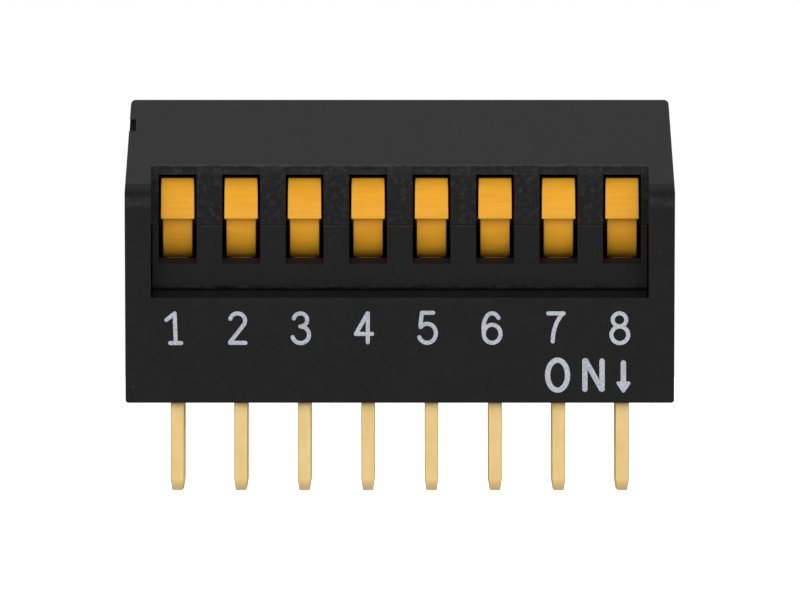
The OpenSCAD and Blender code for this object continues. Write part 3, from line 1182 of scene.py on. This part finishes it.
@dataclass
class Lettering:
    """Pad-printed figures and the mark with its arrow on the front of the case.

    Attributes:
        film: Thickness of the ink.
        lap: Share of it that each further stroke of a glyph adds.
        sink: Share of it that the rims lie below the face.
        figure_w: Stroke width of the figures.
        mark_w: Stroke width of the mark.
        foot_z: Height of the figures' feet.
        shift_x: How far the row of figures is off the levers.
        head: Half width, top height and tip height of the arrow's head.
        head_r: Radius of the head's corners.
    """

    film: float = 0.004 * MM
    lap: float = 0.12
    sink: float = 0.3
    figure_w: float = 0.177 * MM
    mark_w: float = 0.23 * MM
    foot_z: float = 2.3 * MM
    shift_x: float = -0.13 * MM
    head: tuple[float, float, float] = (0.284 * MM, 0.86 * MM, 0.376 * MM)
    head_r: float = 0.075 * MM

    @property
    def face_y(self) -> float:
        """Place of the front face, which the ink lies on."""
        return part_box("case")[0][1]

    def add_stroke(self, shape: Shape, path: Array, width: float, order: int) -> None:
        """Adds one stroke of ink as a ribbon with round ends and a crowned section.

        The path is carried on past each end by r sin t while the half width falls as r cos t,
        with t from 0 to a quarter turn. Across the stroke u runs from -1 to 1, and the film
        stands film * (1 - u^6) proud of the face, less its sink at the rims.

        Args:
            shape: The mesh to add it to.
            path: Points (x, z) along the middle of the stroke.
            width: Width of the stroke.
            order: Its place in the order of the glyph's strokes. Each lies prouder than the last.
        """
        r = width / 2
        closed = np.allclose(path[0], path[-1])
        if closed:
            path = path[:-1]
            tangent = np.roll(path, -1, 0) - np.roll(path, 1, 0)
            half = np.full(len(path), r)
        else:
            turn = np.linspace(0, math.pi / 2, 8)[1:]
            tangent = np.gradient(path, axis=0)
            tangent /= np.linalg.norm(tangent, axis=1, keepdims=True)
            before = path[0] - tangent[0] * r * np.sin(turn)[::-1, None]
            after = path[-1] + tangent[-1] * r * np.sin(turn)[:, None]
            half = np.concatenate([r * np.cos(turn)[::-1], np.full(len(path), r), r * np.cos(turn)])
            ends = (np.repeat(tangent[:1], len(turn), 0), np.repeat(tangent[-1:], len(turn), 0))
            tangent = np.vstack([ends[0], tangent, ends[1]])
            path = np.vstack([before, path, after])
        tangent = tangent / np.linalg.norm(tangent, axis=1, keepdims=True)
        side = np.stack([-tangent[:, 1], tangent[:, 0]], 1)
        u = np.linspace(-1, 1, 9)
        flat = path[:, None] + side[:, None] * (half[:, None] * u)[..., None]
        film = self.film * (1 + self.lap * order)
        proud = film * (half / r)[:, None] * (1 - u**6) - self.sink * self.film
        grid = np.stack([flat[..., 0], self.face_y - proud, flat[..., 1]], -1)
        shape.add_grid(grid, wrap_rows=closed)

    def add_head(self, shape: Shape) -> None:
        """Adds the arrow's head, a triangle with rounded corners and a crowned film.

        The outline is that of a smaller triangle moved outwards by the corner radius, whose tip
        lies 1.4 radii in, as that corner is the sharpest. Each ring runs a share of the way from
        its middle, with the film falling as 1 - share^8.

        Args:
            shape: The mesh to add it to.
        """
        (half, top, tip), r = self.head, self.head_r
        corners = np.array([[-half + r, top - r], [half - r, top - r], [0, tip + 1.4 * r]])
        turn = np.radians(np.linspace((180, 90, -35), (90, -35, -145), 9, axis=1))
        ring = (corners[:, None] + r * np.stack([np.cos(turn), np.sin(turn)], -1)).reshape(-1, 2)
        middle = corners.mean(0)
        share = np.array([0.0, 0.4, 0.7, 0.88, 0.96, 1.0])
        flat = middle + share[:, None, None] * (ring - middle)[None]
        film = self.film * (1 + self.lap * len(ON_MARK))
        proud = np.broadcast_to((film * (1 - share**8) - self.sink * self.film)[:, None], flat.shape[:2])
        grid = np.stack([flat[..., 0] + self.arrow_x, self.face_y - proud, flat[..., 1]], -1)
        shape.add_grid(grid, wrap_columns=True)

    @property
    def arrow_x(self) -> float:
        """Middle of the arrow along the row."""
        return ON_MARK[-1][0].x0 * MM

    def build_figures(self, finish: bpy.types.Material) -> bpy.types.Object:
        """Makes the figures from 1, one under each lever, as one piece.

        Args:
            finish: The ink's material.

        Returns:
            The new piece.
        """
        shape = Shape()
        for way, figure in enumerate(FIGURES[:WAYS], 1):
            at = np.array([frame["joints"][way - 1]["pos_m"][0] + self.shift_x, self.foot_z])
            for order, stroke in enumerate(figure):
                path = np.vstack([part.points() for part in stroke]) * MM + at
                self.add_stroke(shape, path, self.figure_w, order)
        return dress(shape.piece("figures_ink"), finish, "root")

    def build_mark(self, finish: bpy.types.Material) -> bpy.types.Object:
        """Makes the mark and its arrow as one piece.

        Args:
            finish: The ink's material.

        Returns:
            The new piece.
        """
        shape = Shape()
        for order, stroke in enumerate(ON_MARK):
            path = np.vstack([part.points() for part in stroke]) * MM
            self.add_stroke(shape, path, self.mark_w, order)
        self.add_head(shape)
        return dress(shape.piece("on_mark_ink"), finish, "root")


# --- Studio ---


@dataclass
class Studio:
    """Floor, world, lamps and camera.

    Attributes:
        ambient: Strength of the world on the object.
        key: Power of the softbox overhead.
        fill: Power of the softbox in front.
        floor_glow: Strength of the floor's own white, on top of the light that falls on it.
        floor_half: Half the width of the floor.
        stand_off: Distance from the camera to the front row of pins.
        field_w: Width of the view at that distance.
        aim: Place on the front that the camera faces, along X and Z.
    """

    ambient: float = 0.68
    key: float = 0.8
    fill: float = 4.9
    floor_glow: float = 0.8
    floor_half: float = 1.6
    stand_off: float = 1.1
    field_w: float = 31.99 * MM
    aim: tuple[float, float] = (0.008 * MM, 4.11 * MM)

    @staticmethod
    def seen(graph: Graph) -> tuple[Signal, Signal]:
        """Tells the kinds of ray apart.

        Args:
            graph: The graph that asks.

        Returns:
            1 on rays from the camera, and 1 on rays off gloss or through glass.
        """
        kinds = ("Is Camera Ray", "Is Glossy Ray", "Is Transmission Ray")
        camera, gloss, through = (graph.node("ShaderNodeLightPath", output=k) for k in kinds)
        return camera, gloss.most(through)

    def build_world(self) -> None:
        """Makes a white world that lights the object at the ambient level."""
        world = bpy.data.worlds.new("studio_world")
        bpy.context.scene.world = world
        graph = Graph(world)
        dim = graph.node("ShaderNodeBackground", values={"Color": WHITE, "Strength": self.ambient})
        full = graph.node("ShaderNodeBackground", values={"Color": WHITE, "Strength": 1.0})
        camera, mirrored = self.seen(graph)
        mixed = graph.node("ShaderNodeMixShader", values={0: camera.most(mirrored), 1: dim, 2: full})
        graph.node("ShaderNodeOutputWorld", values={"Surface": mixed})

    def build_floor(self) -> None:
        """Makes a wide white floor under the tips of the pins, gently uneven in its paint."""
        edge = np.linspace(-self.floor_half, self.floor_half, 9)
        x, y = np.meshgrid(edge, edge, indexing="ij")
        shape = Shape()
        shape.add_grid(np.dstack([x, y, np.full_like(x, CAD_BOX[0][2])]))
        floor = shape.piece("studio_floor")
        paint = bpy.data.materials.new("floor_paint")
        graph = Graph(paint)
        cloud = graph.noise(graph.place(), 0.03, 3)
        tone = graph.blend(cloud, (0.86, 0.86, 0.86, 1), (0.9, 0.9, 0.9, 1))
        matt = graph.node("ShaderNodeBsdfDiffuse", values={"Color": tone})
        glow = graph.node("ShaderNodeEmission", values={"Color": WHITE, "Strength": self.floor_glow})
        full = graph.node("ShaderNodeEmission", values={"Color": WHITE, "Strength": 1.0})
        lit = graph.node("ShaderNodeAddShader", values={0: matt, 1: glow})
        camera, mirrored = self.seen(graph)
        open_view = graph.node("ShaderNodeMixShader", values={0: camera, 1: matt, 2: lit})
        mixed = graph.node("ShaderNodeMixShader", values={0: mirrored, 1: open_view, 2: full})
        graph.node("ShaderNodeOutputMaterial", values={"Surface": mixed})
        floor.data.materials.append(paint)

    def add_lamp(
        self, name: str, place: Sequence[float], size: tuple[float, float], power: float
    ) -> None:
        """Adds a softbox that faces the middle of the object.

        Args:
            name: Name of the lamp.
            place: Its middle.
            size: Its width and height.
            power: Its power in watts.
        """
        data = bpy.data.lights.new(name, "AREA")
        data.shape, data.energy = "RECTANGLE", power
        data.size, data.size_y = size
        lamp = bpy.data.objects.new(name, data)
        back = Vector(place) - Vector(np.mean(CAD_BOX, axis=0))
        lamp.location = place
        lamp.rotation_euler = back.to_track_quat("Z", "Y").to_euler()
        bpy.context.scene.collection.objects.link(lamp)

    def build_lamps(self) -> None:
        """Adds the softbox overhead, a little to the rear and left, and the wide one in front."""
        self.add_lamp("overhead_softbox", (-0.06, 0.15, 0.5), (0.38, 0.38), self.key)
        self.add_lamp("front_softbox", (0, -1.1, 0.25), (1.3, 0.45), self.fill)

    def build_camera(self) -> None:
        """Puts a long lens level with the middle of the switch, square to its front."""
        data = bpy.data.cameras.new("camera")
        data.sensor_width, data.lens = 36.0, 36.0 * self.stand_off / self.field_w
        data.clip_start, data.clip_end = 0.1, 20.0
        camera = bpy.data.objects.new("camera", data)
        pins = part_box("front_terminal_1")[0][1]
        camera.location = (self.aim[0], pins - self.stand_off, self.aim[1])
        camera.rotation_euler = (math.pi / 2, 0, 0)
        bpy.context.scene.collection.objects.link(camera)
        bpy.context.scene.camera = camera

    def build(self) -> None:
        """Sets the whole stage."""
        self.build_world()
        self.build_floor()
        self.build_lamps()
        self.build_camera()
        bpy.context.scene.view_settings.view_transform = "Standard"


# --- Assembly ---


def main() -> None:
    logging.basicConfig(level=logging.INFO, format="%(message)s")
    case_black, base_black = CASE_BLACK.material(), BASE_BLACK.material()
    orange, spring_gold = LEVER_ORANGE.material(), SPRING_GOLD.material()
    pin_gold, ink, resin = PIN_GOLD.material(), PAD_INK.material(), POTTING_RESIN.material()
    housing = Housing()
    housing.build_case(case_black)
    housing.build_base(base_black)
    housing.build_pour(resin)
    levers = LeverBank()
    terminals = TerminalRows()
    for way in range(1, WAYS + 1):
        levers.build(way, orange)
        levers.dress_wiper(way, spring_gold)
        for row in Row:
            terminals.build(row, way, pin_gold)
    lettering = Lettering()
    lettering.build_figures(ink)
    lettering.build_mark(ink)
    Studio().build()


if __name__ == "__main__":
    main()
